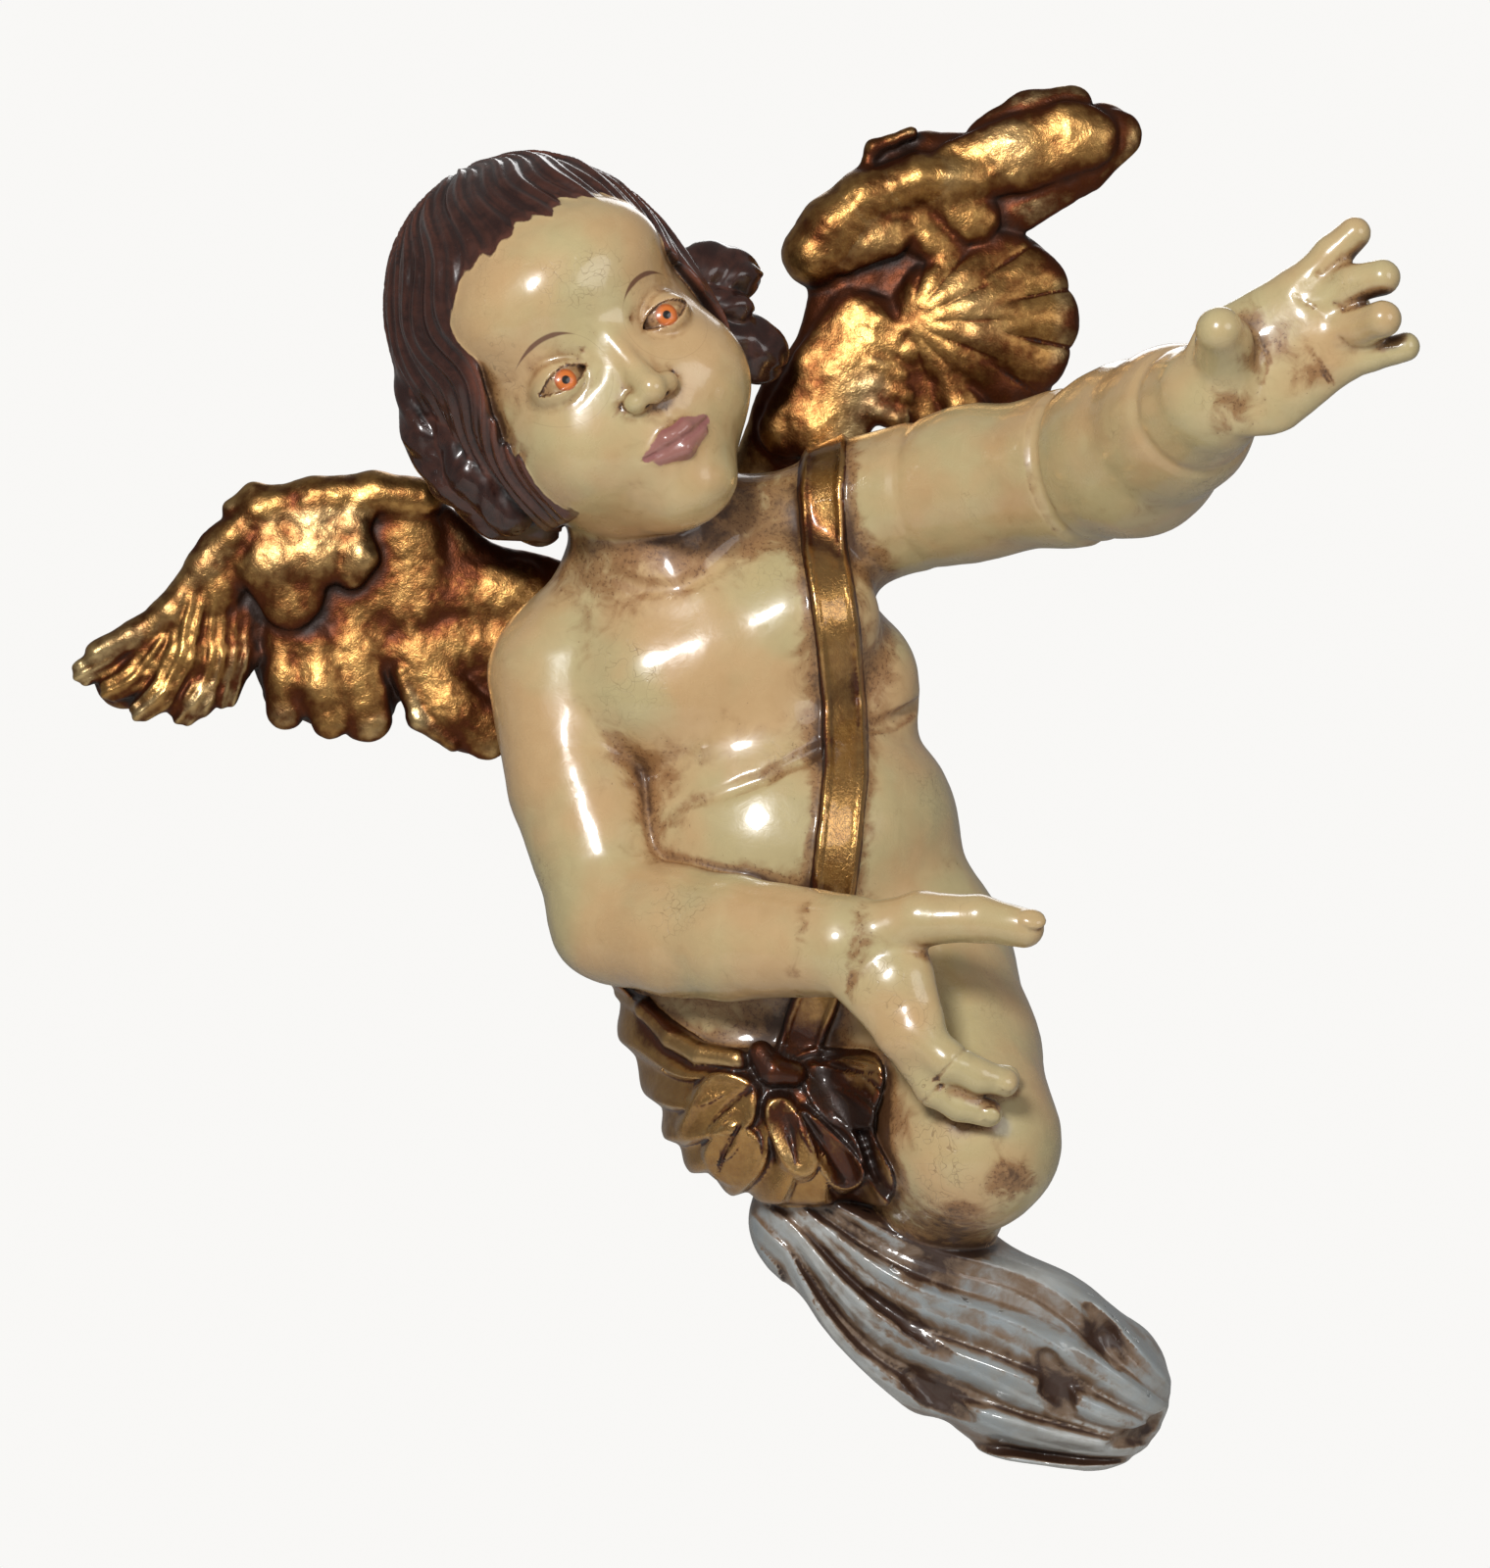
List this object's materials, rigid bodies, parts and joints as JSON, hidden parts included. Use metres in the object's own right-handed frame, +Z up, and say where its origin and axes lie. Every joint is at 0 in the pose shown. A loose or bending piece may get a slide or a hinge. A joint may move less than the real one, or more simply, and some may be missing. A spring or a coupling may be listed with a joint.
{
  "type": "wall-hung wooden angel statue",
  "caption": "Carved, painted and gilded wooden cherub in flight, planed flat at the back to hang on a wall, with carved wings fixed behind the shoulders.",
  "frame": {"origin": "on the planed back, behind the chest, where the figure bears on the wall", "axes": "+X to the right of someone facing the figure, +Y into the wall, +Z up"},
  "size_m": [0.6588, 0.3128, 0.7111],
  "materials": {
    "painted_figure": "carved wood, primed, painted in cream skin tones and varnished to a gloss, with dark brown hair, bluish white drapery and gilt cloth, brown patina in the hollows",
    "gilded_wings": "carved wood under burnished gold leaf, glazed reddish brown in the hollows"
  },
  "bodies": {
    "root": {"figure": "painted_figure", "wing_left": "gilded_wings", "wing_right": "gilded_wings"}
  },
  "joints": []
}
